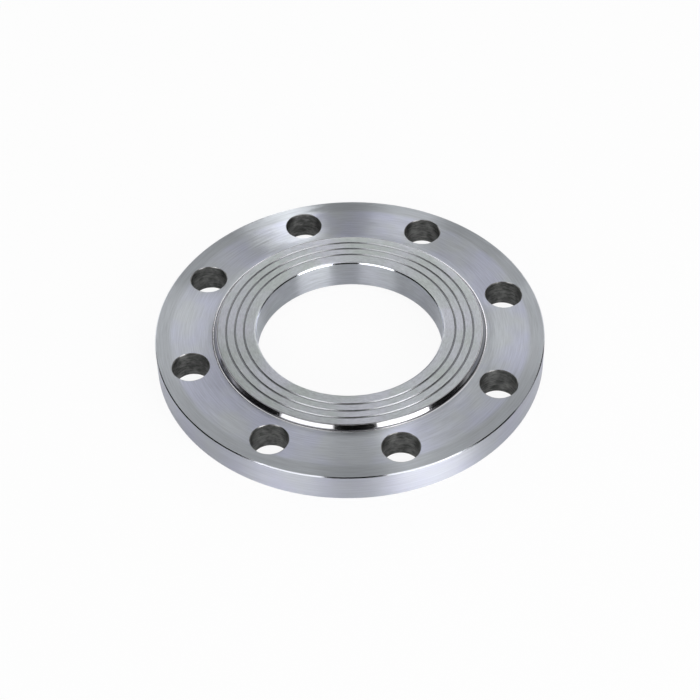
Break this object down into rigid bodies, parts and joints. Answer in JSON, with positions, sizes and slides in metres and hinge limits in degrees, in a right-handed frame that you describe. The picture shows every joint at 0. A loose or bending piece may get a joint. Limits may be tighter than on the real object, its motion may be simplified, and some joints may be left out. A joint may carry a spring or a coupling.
{
  "type": "plate flange",
  "caption": "Flat round steel flange that slips over a pipe, with a raised grooved sealing face and a circle of bolt holes.",
  "frame": {"origin": "on the pipe's axis, at the back face that the flange rests on", "axes": "+Z along the pipe's axis, out of the raised sealing face; +X on a centre line, midway between two bolt holes"},
  "size_m": [0.19, 0.19, 0.0172],
  "materials": {
    "turned_steel": "turned"
  },
  "bodies": {
    "root": {"flange": "turned_steel"}
  },
  "joints": []
}
